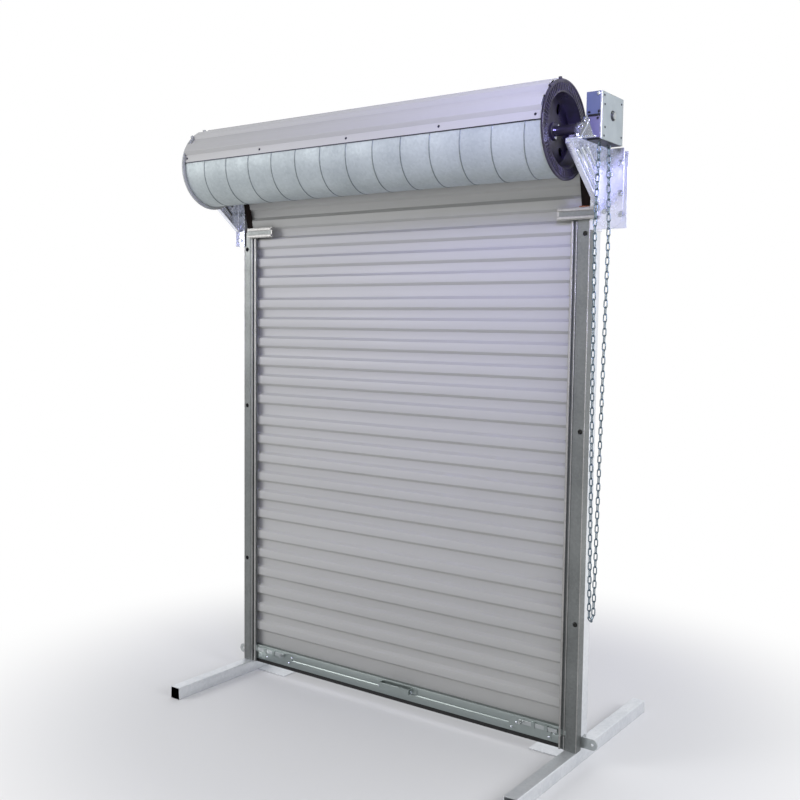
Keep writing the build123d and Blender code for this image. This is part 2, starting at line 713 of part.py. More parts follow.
def hand_chain():
    """Endless chain over the pocket wheel, every second link turned a quarter."""
    joints = chain_joints()
    flat = chain_link()
    turned = Rot(0, 0, 90) * flat
    links = []
    for i, (y0, z0) in enumerate(joints):
        y1, z1 = joints[(i + 1) % len(joints)]
        tilt = Plane(origin=(chain_x, (y0 + y1) / 2, (z0 + z1) / 2), x_dir=(1, 0, 0), z_dir=(0, y1 - y0, z1 - z0))
        links.append(tilt.location * (turned if i % 2 else flat))
    return Compound(links)


def write(name, shape):
    """One sub-part, one file, placed in the shared frame."""
    export_step(Pos(-origin_x, -origin_y, 0) * shape, f"parts/{name}.step")


def main():
    os.makedirs("parts", exist_ok=True)
    pairs = {
        "foot": foot, "floor_plate": floor_plate, "post": post, "base_lug": base_lug, "guide": guide,
        "head_packer": head_packer, "drum_wheel": drum_wheel, "bolt_plate": bolt_plate, "slide_bolt": slide_bolt,
    }
    for name, make in pairs.items():
        right = make()
        write(f"{name}_right", right)
        write(f"{name}_left", mirror(right, about=Plane.YZ))
    rights = {
        "stop_bar": stop_bar(stop_bar_reach_right, head_front_y),
        "head_plate": head_plate(head_plate_reach_right),
        "bracket": bracket(1, wall_flange_right, top_flange_right, wall_flange_right / 2),
        "axle_clamp": axle_clamp(hoist_inner_x, clamp_length_right),
    }
    lefts = {
        "stop_bar": stop_bar(stop_bar_reach_left, guide_front_y),
        "head_plate": head_plate(head_plate_reach_left),
        "bracket": bracket(-1, wall_flange_left, top_flange_left, 0),
        "axle_clamp": axle_clamp(gusset_outer_x, clamp_length_left),
    }
    for name in rights:
        write(f"{name}_right", rights[name])
        write(f"{name}_left", mirror(lefts[name], about=Plane.YZ))
    singles = {
        "axle": axle, "barrel": barrel, "curtain": curtain, "bottom_bar": bottom_bar, "bottom_seal": bottom_seal,
        "lift_handle": lift_handle, "hoist_housing": hoist_housing, "hoist_cover": hoist_cover,
        "wheel_shaft": wheel_shaft, "pocket_wheel": pocket_wheel, "chain_guide": chain_guide,
        "hand_chain": hand_chain,
    }
    for name, make in singles.items():
        write(name, make())


main()
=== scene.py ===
# %% [markdown]
# # A rolling sheet door on its display frame
#
# The door is a corrugated sheet that winds on a spiral-seamed tube above two side guides, driven by a hand
# chain. Here the plain CAD solids get their finishes, and the pieces that need finer shapes are built anew:
# the rolled edges of sheet and tube, the welded chain, the seamed barrel, the ribs of the drum wheels, and
# the screws and bolts.
#
# The first lines bring in the CAD model as a fixed frame, with a helper that gives the box round any of its pieces.

# %% Load the frame
import bpy
import bmesh
from math import atan2, cos, hypot, pi, radians, sin, sqrt
from mathutils import Matrix, Vector


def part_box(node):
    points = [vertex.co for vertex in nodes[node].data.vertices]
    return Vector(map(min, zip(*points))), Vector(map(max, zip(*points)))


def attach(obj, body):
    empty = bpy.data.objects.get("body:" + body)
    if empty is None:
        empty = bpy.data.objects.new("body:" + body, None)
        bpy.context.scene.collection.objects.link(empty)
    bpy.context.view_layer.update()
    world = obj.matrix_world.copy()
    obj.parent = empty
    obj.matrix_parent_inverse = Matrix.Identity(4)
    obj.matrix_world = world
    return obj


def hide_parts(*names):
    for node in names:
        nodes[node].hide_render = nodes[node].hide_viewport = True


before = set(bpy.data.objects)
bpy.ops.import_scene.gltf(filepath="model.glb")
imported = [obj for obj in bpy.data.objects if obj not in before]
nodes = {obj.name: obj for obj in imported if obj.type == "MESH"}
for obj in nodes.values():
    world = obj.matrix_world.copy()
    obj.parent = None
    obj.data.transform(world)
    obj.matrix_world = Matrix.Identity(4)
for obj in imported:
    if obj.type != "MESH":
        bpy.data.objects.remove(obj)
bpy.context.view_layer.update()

# %% [markdown]
# Lengths are easier to read in millimetres, as on the CAD drawing, so one function turns them into Blender's
# metres. Colours are easier to read as the hex values of a paint chart, so another turns those into the linear
# numbers that the shader wants.

# %% Units and colours
def mm(value):
    return value / 1000


def linear(hex_code):
    """An sRGB hex colour as linear red, green, blue and alpha."""
    channels = [int(hex_code[i:i + 2], 16) / 255 for i in (1, 3, 5)]
    return [c / 12.92 if c <= 0.04045 else ((c + 0.055) / 1.055) ** 2.4 for c in channels] + [1.0]


print("mid grey is", [round(c, 3) for c in linear("#808080")])

# %% [markdown]
# Every material is a small network around one Principled shader. A single helper adds any node, sets its
# inputs and links what feeds it, so that each finish below reads as a short recipe.

# %% One helper for every shader node
def add(material, kind, settings=None, **inputs):
    """Adds a node. Settings are its own properties; inputs are values, or sockets to link from."""
    tree = material.node_tree
    node = tree.nodes.new(kind)
    for name, value in (settings or {}).items():
        setattr(node, name, value)
    for name, value in inputs.items():
        key = int(name[1:]) if name[0] == "i" and name[1:].isdigit() else name.replace("_", " ")
        if isinstance(value, bpy.types.NodeSocket):
            tree.links.new(value, node.inputs[key])
        else:
            node.inputs[key].default_value = value
    return node


def new_material(name, colour, metallic, roughness):
    """A material with one Principled shader at plain values."""
    material = bpy.data.materials.new(name)
    material.use_nodes = True
    shader = material.node_tree.nodes["Principled BSDF"]
    shader.inputs["Base Color"].default_value = linear(colour)
    shader.inputs["Metallic"].default_value = metallic
    shader.inputs["Roughness"].default_value = roughness
    return material, shader


def placed(material, stretch=(1, 1, 1)):
    """Object coordinates, stretched along the axes."""
    place = add(material, "ShaderNodeTexCoord").outputs["Object"]
    return add(material, "ShaderNodeMapping", Vector=place, Scale=stretch).outputs["Vector"]


def blotches(material, size_mm, detail=2.0, stretch=(1, 1, 1)):
    """Soft noise with patches about size_mm across."""
    return add(material, "ShaderNodeTexNoise", Vector=placed(material, stretch), Scale=1000 / size_mm,
               Detail=detail).outputs["Fac"]


def between(material, factor, low, high, start=0.3, end=0.7):
    """A ramp from one colour to another as the factor goes from start to end."""
    ramp = add(material, "ShaderNodeValToRGB", Fac=factor)
    ramp.color_ramp.elements[0].position = start
    ramp.color_ramp.elements[1].position = end
    ramp.color_ramp.elements[0].color = linear(low)
    ramp.color_ramp.elements[1].color = linear(high)
    return ramp.outputs["Color"]


def follow(material, factor, low, high, start=0.3, end=0.7):
    """A number that goes from low to high as the factor goes from start to end."""
    spread = add(material, "ShaderNodeMapRange", Value=factor, From_Min=start, From_Max=end, To_Min=low,
                 To_Max=high)
    return spread.outputs["Result"]


def dented(material, factor, depth_mm, strength=1.0):
    """A bumped normal of about depth_mm."""
    bump = add(material, "ShaderNodeBump", Height=factor, Distance=mm(depth_mm), Strength=strength)
    return bump.outputs["Normal"]


def use(material, shader, **links):
    """Links sockets to the shader's inputs."""
    for name, socket in links.items():
        material.node_tree.links.new(socket, shader.inputs[name.replace("_", " ")])


print("shader helpers ready")

# %% [markdown]
# Hot-dip galvanised steel is zinc that froze in flat crystals, the spangle. Each crystal reflects a little
# more or less than its neighbour, so the sheet looks softly mottled and satin, never mirror-like. Crystals of
# 8 to 12 mm are drawn with a Voronoi pattern at low contrast, over broad soft stains, and the coat's slight
# waves are a bump of a few hundredths of a millimetre.

# %% Galvanised steel
def galvanised(name, dark, light, roughness, spangle_mm=12, metallic=1.0, wave=0.03):
    """Zinc-coated steel: spangle in colour and roughness."""
    material, shader = new_material(name, light, metallic, roughness)
    cells = add(material, "ShaderNodeTexVoronoi", Vector=placed(material), Scale=1000 / spangle_mm).outputs["Color"]
    grain = add(material, "ShaderNodeRGBToBW", Color=cells).outputs["Val"]
    stains = blotches(material, 160, 4)
    mixed = add(material, "ShaderNodeMath", {"operation": "MULTIPLY_ADD"}, i0=grain, i1=0.3, i2=stains).outputs[0]
    use(material, shader, Base_Color=between(material, mixed, dark, light, 0.42, 0.95),
        Roughness=follow(material, mixed, roughness + 0.08, roughness - 0.05, 0.4, 0.9),
        Normal=dented(material, blotches(material, 25, 3), wave))
    return material


# Feet, posts and floor plates: pale hot-dip zinc
galvanised_tube = galvanised("galvanised_tube", "#D2D5D8", "#E3E5E7", 0.42, 12, 0.8)
# Guides, and the grooves of the stop bars: strip a good deal darker, which stands for shade in the grooves and
# between the guides' beads
galvanised_strip_and_shade = galvanised("galvanised_strip_and_shade", "#696C6B", "#7A7D7C", 0.38, 8, 0.7)
# Gussets, head plates and the hoist cover's edge: shiny, painted near white with a lilac tint for the strong light
# and violet cast on them
galvanised_bracket_painted_light = galvanised("galvanised_bracket_painted_light", "#D3D6E4", "#F8FAFF", 0.24, 10, 0.7)
# Barrel: pale green-grey strip, and its seams, painted darker as the shade along them
galvanised_barrel = galvanised("galvanised_barrel", "#9FA7A8", "#AFB7B8", 0.55, 9, 0.4)
seam_shade_zinc = galvanised("galvanised_seam_painted_shade", "#747C7E", "#848C8E", 0.42, 9, 0.8)
# Stop bars, and the rolled beads of the guides: warm grey, which on the beads is a painted highlight, lighter than
# the guide
galvanised_stop = galvanised("galvanised_stop", "#93928F", "#A9A8A6", 0.40, 8, 0.7)
print("galvanised steels ready")

# %% [markdown]
# The curtain is steel strip coated in a coil line with silicone polyester paint: warm light grey and satin,
# very even, with a faint rolling direction along its length. The hoist's case is powder coated in a grey-green,
# with the fine orange peel that powder leaves.

# %% Paints
def paint(name, dark, light, roughness, size_mm, stretch=(1, 1, 1), peel=0.0):
    """An even coat with barely visible unevenness."""
    material, shader = new_material(name, light, 0.0, roughness)
    patches = blotches(material, size_mm, 3, stretch)
    use(material, shader, Base_Color=between(material, patches, dark, light, 0.25, 0.75),
        Roughness=follow(material, patches, roughness + 0.05, roughness - 0.05))
    if peel:
        use(material, shader, Normal=dented(material, blotches(material, 2.5, 1), peel))
    return material


# Curtain
coil_coated_grey = paint("coil_coated_grey", "#A6A6A4", "#AEAEAC", 0.44, 300, (0.15, 1, 1))
# Hoist: its cover in the grey-green paint, its case with painted blue shade, and the lower front panel with painted
# violet light
powder_coat_green_grey = paint("powder_coat_green_grey", "#7E8683", "#89918D", 0.40, 60, peel=0.02)
powder_coat_painted_blue_shade = paint("powder_coat_painted_blue_shade", "#5B6580", "#656F8B", 0.40, 60, peel=0.02)
powder_coat_painted_violet_light = paint("powder_coat_painted_violet_light", "#6C6A84", "#7A7794", 0.34, 60, peel=0.02)
# Painted shade: the chain guide's dark underside, and the gap and plate of the hoist's case
painted_shade_sheet = paint("painted_shade_black_sheet", "#17171A", "#222226", 0.45, 40)
print("paints ready")

# %% [markdown]
# The drum wheels are moulded in glass-filled nylon. The right one is a dull near-black, with a purple tint painted
# into its colour for the violet light it catches; the left one is painted pale grey all over, for the light on its
# rim. The seal is black rubber, and the strip above each guide is dark stained wood.

# %% Mouldings, rubber and wood
def moulded(name, dark, light, roughness):
    """Filled nylon: a dull moulded skin with faint flow marks."""
    material, shader = new_material(name, light, 0.0, roughness)
    flow = blotches(material, 30, 3)
    use(material, shader, Base_Color=between(material, flow, dark, light),
        Roughness=follow(material, flow, roughness + 0.08, roughness - 0.06),
        Normal=dented(material, blotches(material, 3, 2), 0.04))
    return material


# Painted light: the right wheel's purple tint stands for violet light, the left wheel's pale grey for the light on
# its rim.
black_nylon = moulded("black_glass_filled_nylon", "#15111C", "#2C2640", 0.32)
lit_grey_nylon = moulded("glass_filled_nylon_painted_lit_grey", "#9C9E9F", "#A9ABAC", 0.50)

seal_rubber, rubber_shader = new_material("seal_rubber", "#121212", 0.0, 0.75)
use(seal_rubber, rubber_shader, Base_Color=between(seal_rubber, blotches(seal_rubber, 20, 3), "#0E0E0E", "#1C1C1C"))

stained_wood, wood_shader = new_material("stained_wood", "#3A231D", 0.0, 0.75)
wood_shader.inputs["Specular IOR Level"].default_value = 0.15
wood_grain = blotches(stained_wood, 8, 4, (1, 1, 0.06))
use(stained_wood, wood_shader, Base_Color=between(stained_wood, wood_grain, "#0E0706", "#1F1210"),
    Normal=dented(stained_wood, wood_grain, 0.15))
print("mouldings ready")

# %% [markdown]
# Small hardware is zinc plated: a thin bright coat on turned or pressed steel. It is the brightest metal on
# the door, with a slight blue cast on the chain and screws, and duller on the slide bolts. The cut upper end
# of the right guide has a smear of rust, iron oxide, from the saw.

# %% Plated, turned and rusty steel
def plated(name, colour, roughness, metallic=1.0):
    """Zinc plate with a faintly uneven polish."""
    material, shader = new_material(name, colour, metallic, roughness)
    use(material, shader, Roughness=follow(material, blotches(material, 6, 2), roughness + 0.08, roughness - 0.05))
    return material


bright_zinc = plated("bright_zinc", "#D4D8E0", 0.20)        # bolts, clamps and boss; on the swages, a painted highlight
chain_zinc = plated("chain_zinc", "#66757F", 0.24)          # hand chain, teal-grey
satin_zinc = plated("satin_zinc", "#B4B8B8", 0.34)          # slide bolts, lugs, shaft, axle cap
folded_zinc = plated("folded_zinc", "#99A19F", 0.36)        # bottom bar, bolt plates and handle
dark_pipe = plated("dark_pipe", "#8C86A0", 0.32)            # axle, purple-grey
cast_zinc = plated("cast_zinc", "#8E8E92", 0.48)            # pocket wheel
dark_zinc = plated("dark_zinc", "#3A3A42", 0.32)            # black screws, and the painted shade line at the curtain's edge
rusty_edge, rust_shader = new_material("rusty_edge", "#7A3A1E", 0.0, 0.85)
use(rusty_edge, rust_shader, Base_Color=between(rusty_edge, blotches(rusty_edge, 4, 4), "#5A2412", "#C07A4A"))
print("plated steels ready")

# %% [markdown]
# Each CAD piece that keeps its shape takes the finish of the real one. The rest are replaced further on, so only
# the pieces that stay are named here.

# %% Finishes of the CAD pieces that stay
# The chain guide's near-black is painted shade on its underside.
kept_finish = {
    "head_packer_left": stained_wood, "head_packer_right": stained_wood, "bottom_seal": seal_rubber,
    "axle": dark_pipe, "pocket_wheel": cast_zinc, "wheel_shaft": satin_zinc, "chain_guide": painted_shade_sheet,
}
for name, material in kept_finish.items():
    nodes[name].data.materials.clear()
    nodes[name].data.materials.append(material)
print("finishes on", len(kept_finish), "pieces")

# %% [markdown]
# New pieces are bmeshes. This helper turns one into an object that sits at the origin with its place in its mesh,
# gives it a finish, sets it riding on a CAD body and hides the CAD nodes it stands for. Flat faces stay flat in the
# shading, and only faces that belong to a rounding are smoothed, so that big sheets show no false gradients.

# %% Turning a bmesh into a piece
def is_rounding(face, gentle=20):
    """Whether the face meets a neighbour at a gentle angle, as the facets of a round surface do."""
    angles = [edge.calc_face_angle(0) for edge in face.edges if len(edge.link_faces) == 2]
    return any(radians(0.3) < angle < radians(gentle) for angle in angles)


def piece(name, shape, material, body="stand", stands_for=(), smooth=50, rounded=()):
    """Finishes a bmesh as an object of the scene. Edges sharper than smooth degrees stay crisp."""
    bmesh.ops.recalc_face_normals(shape, faces=shape.faces)
    rounded = set(rounded)
    for face in shape.faces:
        face.smooth = face in rounded or is_rounding(face)
    for edge in shape.edges:
        edge.smooth = len(edge.link_faces) == 2 and edge.calc_face_angle(0) < radians(smooth)
    mesh = bpy.data.meshes.new(name)
    shape.to_mesh(mesh)
    shape.free()
    mesh.materials.append(material)
    made = bpy.data.objects.new(name, mesh)
    bpy.context.scene.collection.objects.link(made)
    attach(made, body)
    if stands_for:
        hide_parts(*stands_for)
    print(name, len(mesh.polygons), "faces")
    return made


print("piece helper ready")

# %% [markdown]
# No edge of bent sheet or drawn tube is truly sharp: each catches a thin line of light. The CAD solids have
# sharp edges, so each visible one is replaced by a copy of itself with its edges rounded. The CAD mesh is loose
# triangles, so the copy is first welded and its flat faces are made whole, and then the bevel operator rounds
# every edge, or only the long ones where the piece is a tube.

# %% Copies with rounded edges
def welded_copy(node):
    """The node's mesh as a bmesh with its loose triangles joined and its flat faces whole."""
    shape = bmesh.new()
    shape.from_mesh(nodes[node].data)
    bmesh.ops.remove_doubles(shape, verts=shape.verts, dist=mm(0.02))
    bmesh.ops.dissolve_limit(shape, angle_limit=radians(0.5), verts=shape.verts, edges=shape.edges)
    return shape


def round_edges(shape, radius_mm, segments=2, longer_than_mm=0, corner=30):
    """Rounds the shape's corners and gives back the new faces."""
    sharp = [edge for edge in shape.edges if len(edge.link_faces) == 2
             and edge.calc_face_angle(0) > radians(corner) and edge.calc_length() > mm(longer_than_mm)]
    made = bmesh.ops.bevel(shape, geom=sharp, offset=mm(radius_mm), offset_type="OFFSET", segments=segments,
                           profile=0.5, affect="EDGES", clamp_overlap=True, material=-1)
    return made["faces"]


def ease(node, material, radius_mm, segments=2, longer_than_mm=0, body="stand"):
    """Replaces a CAD node by its copy with rounded edges."""
    shape = welded_copy(node)
    rounded = round_edges(shape, radius_mm, segments, longer_than_mm)
    return piece(node + "_eased", shape, material, body, (node,), rounded=rounded)


for side in ("left", "right"):
    ease("foot_" + side, galvanised_tube, 3, 3, 400)
    ease("post_" + side, galvanised_tube, 3, 3, 400)
    ease("floor_plate_" + side, galvanised_tube, 0.8)
    ease("base_lug_" + side, satin_zinc, 0.8)
    ease("guide_" + side, galvanised_strip_and_shade, 0.9, 2, 20)
    ease("stop_bar_" + side, galvanised_stop, 1.0, 2, 3)
    ease("head_plate_" + side, galvanised_bracket_painted_light, 1.2)
    ease("bracket_" + side, galvanised_bracket_painted_light, 1.0, 2, 2.5)
    ease("bolt_plate_" + side, folded_zinc, 0.5)
    ease("slide_bolt_" + side, satin_zinc, 0.8, body="bolt_" + side)
ease("lift_handle", folded_zinc, 1.0)
ease("bottom_bar", folded_zinc, 0.8, 2, 100)
# The case's blue grey is painted shade on the hoist's grey-green paint.
ease("hoist_housing", powder_coat_painted_blue_shade, 1.0, 2, 2.5)
ease("hoist_cover", powder_coat_green_grey, 1.2)

# %% [markdown]
# The curtain's sheets are rolled, so every fold is a gentle curve of a few millimetres. The same rounding on
# the copy of the CAD curtain gives it, and the long flats stay flat.

# %% Curtain
ease("curtain", coil_coated_grey, 2.4, 2, 100)

# %% [markdown]
# Some small shapes are made many times. A hexagon-headed bolt on a washer and a domed screw are built along
# their own Z, then set in place by a matrix: the helper functions make the matrix for a place and the way the
# head points.

# %% Bolts and screws
TOWARDS = {"-y": Matrix.Rotation(pi / 2, 4, "X"), "+x": Matrix.Rotation(pi / 2, 4, "Y"),
           "-x": Matrix.Rotation(-pi / 2, 4, "Y"), "+z": Matrix.Identity(4)}


def facing(way, x, y, z):
    """A place, and the direction in which the head points."""
    return Matrix.Translation((x, y, z)) @ TOWARDS[way]


def disc(shape, radius_mm, low_mm, high_mm, place, segments=20, top_mm=None):
    """A round or many-sided plate from low to high along its own Z, narrower at the top where top_mm says so."""
    middle = Matrix.Translation((0, 0, mm(low_mm + high_mm) / 2))
    bmesh.ops.create_cone(shape, cap_ends=True, segments=segments, radius1=mm(radius_mm),
                          radius2=mm(top_mm or radius_mm), depth=mm(high_mm - low_mm), matrix=place @ middle)


def hex_bolt(shape, place, across_mm=16, head_mm=6, washer_mm=12):
    """Washer, hexagon head, and the chamfered top of the head."""
    disc(shape, washer_mm, 0, 1.8, place, 24, washer_mm - 0.5)
    disc(shape, across_mm * 0.577, 1.8, head_mm, place, 6)
    disc(shape, across_mm * 0.577, head_mm, head_mm + 1.2, place, 6, across_mm * 0.46)


def dome_screw(shape, place, radius_mm=5, height_mm=2.4):
    """Low domed head in three steps with a small recess."""
    disc(shape, radius_mm, 0, height_mm * 0.45, place, 18, radius_mm * 0.92)
    disc(shape, radius_mm * 0.92, height_mm * 0.45, height_mm * 0.8, place, 18, radius_mm * 0.7)
    disc(shape, radius_mm * 0.7, height_mm * 0.8, height_mm, place, 18, radius_mm * 0.4)


print("bolt and screw ready")

# %% [markdown]
# The barrel is a tube wound from galvanised strip and closed by a spiral lock seam, which stands proud like a
# cord wound round it. Both are one small outline that the spin operator turns about the axle: for the tube it
# comes back to its start, and for the seam each step also moves it a little along, one strip width in a turn.
# The seam is cut square where the tube ends, and closed.

# %% Barrel with its spiral seam
barrel_low, barrel_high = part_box("barrel")
axle = (barrel_low + barrel_high) / 2
barrel_radius = (barrel_high.z - barrel_low.z) / 2
barrel_wall = mm(2)
seam_pitch = mm(123.5)
end_line = radians(175)          # the angle of the curtain's fixed edge, from the rear over the top
seam_steps = 64                  # in one turn


def round_x(x, radius=0.0, angle=0.0):
    """A place at a radius and angle round the axle, its own Z pointing outward."""
    turned = Matrix.Rotation(angle - pi / 2, 4, "X")
    return Matrix.Translation((x, axle.y, axle.z)) @ turned @ Matrix.Translation((0, 0, radius))


def closed_line(shape, corners):
    """New corners joined by edges into a closed outline."""
    verts = [shape.verts.new(corner) for corner in corners]
    return verts + [shape.edges.new((verts[i - 1], verts[i])) for i in range(len(verts))]


def turn_round(shape, corners, steps):
    """Sweeps a closed outline once round the axle."""
    bmesh.ops.spin(shape, geom=closed_line(shape, corners), cent=axle, axis=(1, 0, 0), dvec=(0, 0, 0),
                   angle=2 * pi, steps=steps, use_merge=True, use_duplicate=False)


shape = bmesh.new()
outer, inner = barrel_radius, barrel_radius - barrel_wall
turn_round(shape, [round_x(x, radius).translation for x, radius in
                   ((barrel_low.x, outer), (barrel_high.x, outer), (barrel_high.x, inner), (barrel_low.x, inner))],
           128)
piece("barrel_tube", shape, galvanised_barrel, stands_for=("barrel",))

shape = bmesh.new()
seam_x = mm(-5)                  # one seam crosses the curtain's fixed edge here
while seam_x < barrel_high.x + seam_pitch:
    seam_x += seam_pitch
seam_outline = [(-2.4, -0.4), (-1.4, 1.6), (1.4, 1.6), (2.4, -0.4)]
corners = [round_x(seam_x + mm(x), barrel_radius + mm(rise), end_line).translation for x, rise in seam_outline]
seam_turns = round(((seam_x - barrel_low.x) / seam_pitch + 1) * seam_steps)
bmesh.ops.spin(shape, geom=closed_line(shape, corners), cent=axle, axis=(1, 0, 0),
               dvec=(-seam_pitch / seam_steps, 0, 0), angle=2 * pi * seam_turns / seam_steps,
               steps=seam_turns, use_duplicate=False)
for x, side in ((barrel_low.x + mm(1), -1), (barrel_high.x - mm(1), 1)):
    everything = shape.verts[:] + shape.edges[:] + shape.faces[:]
    bmesh.ops.bisect_plane(shape, geom=everything, dist=1e-7, plane_co=(x, 0, 0), plane_no=(side, 0, 0),
                           clear_outer=True)
    bmesh.ops.holes_fill(shape, edges=[edge for edge in shape.edges if edge.is_boundary], sides=12)
# The seam's darker zinc is painted shade along it.
piece("barrel_lock_seam", shape, seam_shade_zinc, smooth=80)

# %% [markdown]
# The sheet's last edge lies on the barrel and is held by a few dark screws through its last flat. They stand in a
# row along the door, a few degrees above the edge. A thin dark strip along the edge itself is painted shade: the
# shadow line under the sheet's edge, seen as a line.

# %% Screws and painted shade line of the curtain's fixed edge
shape = bmesh.new()
# A thin dark slab along the curtain's fixed edge: painted shade under the sheet's edge.
shade_line_low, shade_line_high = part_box("curtain")[0].x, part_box("curtain")[1].x
shade_line = round_x((shade_line_low + shade_line_high) / 2, barrel_radius + mm(1.4), end_line + radians(0.6))
bmesh.ops.create_cube(shape, size=1, matrix=shade_line @ Matrix.Diagonal((shade_line_high - shade_line_low, mm(4), mm(2.6), 1)))
bmesh.ops.bevel(shape, geom=shape.edges[:], offset=mm(0.8), segments=2, profile=0.5, affect="EDGES", material=-1)
piece("curtain_edge_shade_line", shape, dark_zinc)
screw_angle, sheet_top = radians(169), barrel_radius + mm(1.5)
shape = bmesh.new()
for x in (-852, -440, -6, 400, 771):
    dome_screw(shape, round_x(mm(x), sheet_top, screw_angle), 5, 2.6)
piece("curtain_edge_screws", shape, dark_zinc)

# %% [markdown]
# The drum wheels close the barrel's ends and turn with it. Each is one moulding: a spigot in the barrel, a
# flange with a bead round its rim, a ring of ribs, a dish whose wall tapers, a web with three oval holes, and a
# hub on the axle. The ring-shaped parts are one outline each, spun round the axle. The web is a spun grid with
# three windows cut out of it: the corners round each window move onto an oval, and the grid is thickened.

# %% Drum wheels
flange_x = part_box("drum_wheel_right")[1].x - mm(3)     # outer face of the right wheel's flange
wheel_outline = [
    (-45, 116), (-42, 109), (-41, 110.3), (-2.5, 121.4), (-1, 122.2), (0.4, 123.6), (0.9, 125), (0.4, 126.4),
    (0, 127.5), (0, 153.5), (0.8, 155), (2.2, 156), (2.8, 157.6), (2.8, 161), (1.8, 163), (0, 164), (-5, 164),
    (-6, 163), (-6, 150.5), (-7, 149.6), (-25, 149.6), (-26, 148.6), (-26, 145.6), (-25, 144.6)]
hub_outline = [(-50, 16.8), (-37, 16.8), (-36, 17.8), (-36, 27), (-37.5, 29.5), (-41.5, 30.5), (-50, 30.5)]
web_radii = (26, 60, 67.3, 74.6, 82, 89.3, 96.6, 104, 112)
web_segments, window_cells = 72, 6
window_angles = (70, 190, 310)
window_high, window_wide = mm(19), mm(13)          # half sizes of the oval, along the radius and across
rib_count = 72
lug_angles = (131, 104)


def spun(shape, outline, steps=96):
    """An outline of distances out from the flange and radii, swept once round the axle."""
    turn_round(shape, [round_x(flange_x + mm(x), mm(radius)).translation for x, radius in outline], steps)


def web(shape):
    """The web's polar grid, with oval windows, thickened inward."""
    grid = bmesh.new()
    middle_x = flange_x - mm(42)
    line = [grid.verts.new(round_x(middle_x, mm(radius)).translation) for radius in web_radii]
    line += [grid.edges.new(line[i:i + 2]) for i in range(len(line) - 1)]
    bmesh.ops.spin(grid, geom=line, cent=axle, axis=(1, 0, 0), dvec=(0, 0, 0), angle=2 * pi, steps=web_segments,
                   use_merge=True, use_duplicate=False)
    half_angle = pi * window_cells / web_segments
    for window in window_angles:
        outward = round_x(middle_x, mm(82), radians(window))
        cut = set()
        for face in grid.faces:
            middle = face.calc_center_median() - axle
            apart = (atan2(middle.z, middle.y) - atan2(outward.col[2].z, outward.col[2].y) + pi) % (2 * pi) - pi
            if abs(apart) < half_angle and mm(60) < hypot(middle.y, middle.z) < mm(104):
                cut.add(face)
        border = {vert for face in cut for vert in face.verts if not cut.issuperset(vert.link_faces)}
        bmesh.ops.delete(grid, geom=list(cut), context="FACES")
        for vert in border:
            flat = outward.inverted() @ vert.co
            turn = atan2(flat.y, flat.z)
            vert.co = outward @ Vector((0, window_wide * sin(turn), window_high * cos(turn)))
    bmesh.ops.recalc_face_normals(grid, faces=grid.faces)
    bmesh.ops.solidify(grid, geom=grid.faces[:], thickness=mm(5))
    merged = bpy.data.meshes.new("web")
    grid.to_mesh(merged)
    grid.free()
    shape.from_mesh(merged)
    bpy.data.meshes.remove(merged)


def ribs(shape):
    """A ring of moulded ribs on the flange, round the mouth of the dish."""
    made = bmesh.ops.create_cube(shape, size=1, matrix=round_x(flange_x + mm(0.6), mm(140))
                                 @ Matrix.Diagonal((mm(3.2), mm(3.6), mm(24), 1)))
    edges = [edge for edge in {e for v in made["verts"] for e in v.link_edges}
             if all(v.co.x > flange_x + mm(1) for v in edge.verts)]
    bmesh.ops.bevel(shape, geom=edges, offset=mm(1), segments=2, profile=0.5, affect="EDGES", material=-1,
                    clamp_overlap=True)
    rib = [item for group in (shape.verts, shape.edges, shape.faces) for item in group]
    bmesh.ops.spin(shape, geom=rib, cent=axle, axis=(1, 0, 0), dvec=(0, 0, 0),
                   angle=2 * pi * (rib_count - 1) / rib_count, steps=rib_count - 1, use_duplicate=True)


def drum_wheel(side, finish):
    """The whole moulding. The left one is the mirror image about the barrel's middle."""
    shape = bmesh.new()
    ribs(shape)
    spun(shape, wheel_outline)
    spun(shape, hub_outline, 48)
    web(shape)
    for angle in lug_angles:
        made = bmesh.ops.create_cube(shape, size=1, matrix=round_x(flange_x - mm(2), mm(165), radians(angle))
                                     @ Matrix.Diagonal((mm(9), mm(13), mm(12), 1)))
        edges = list({e for v in made["verts"] for e in v.link_edges})
        bmesh.ops.bevel(shape, geom=edges, offset=mm(2.5), segments=2, profile=0.5, affect="EDGES", material=-1,
                        clamp_overlap=True)
    if side == "left":
        bmesh.ops.transform(shape, verts=shape.verts, matrix=Matrix.Translation((2 * axle.x, 0, 0))
                            @ Matrix.Diagonal((-1, 1, 1, 1)))
    node = "drum_wheel_" + side
    piece(node + "_moulding", shape, finish, stands_for=(node,), smooth=40)


# The left wheel's pale grey is painted light on its rim.
drum_wheel("left", lit_grey_nylon)
drum_wheel("right", black_nylon)

# %% [markdown]
# Three bolts hold each wheel's hub to the axle's collar. They are the bright points beside the pipe.

# %% Hub bolts
for side in ("left", "right"):
    shape = bmesh.new()
    hub_face = flange_x - mm(36) if side == "right" else 2 * axle.x - flange_x + mm(36)
    for angle in (177, 258, 57):
        spot = round_x(hub_face, mm(23), radians(angle)).translation
        disc(shape, 5.5, 0, 4.5, facing("+x" if side == "right" else "-x", *spot), 6, 5)
    piece("hub_bolts_" + side, shape, bright_zinc)

# %% [markdown]
# The hand chain is welded from round wire, every second link turned a quarter. One link is a hexagon of wire
# taken round an oval: along one side, half a turn by the spin operator, along the other side, and half a turn
# back to the start. The loop hangs from the pocket wheel: over its top the links lie in its eight pockets, then
# the strands spread a little and come together at the bottom, where two links close the loop.

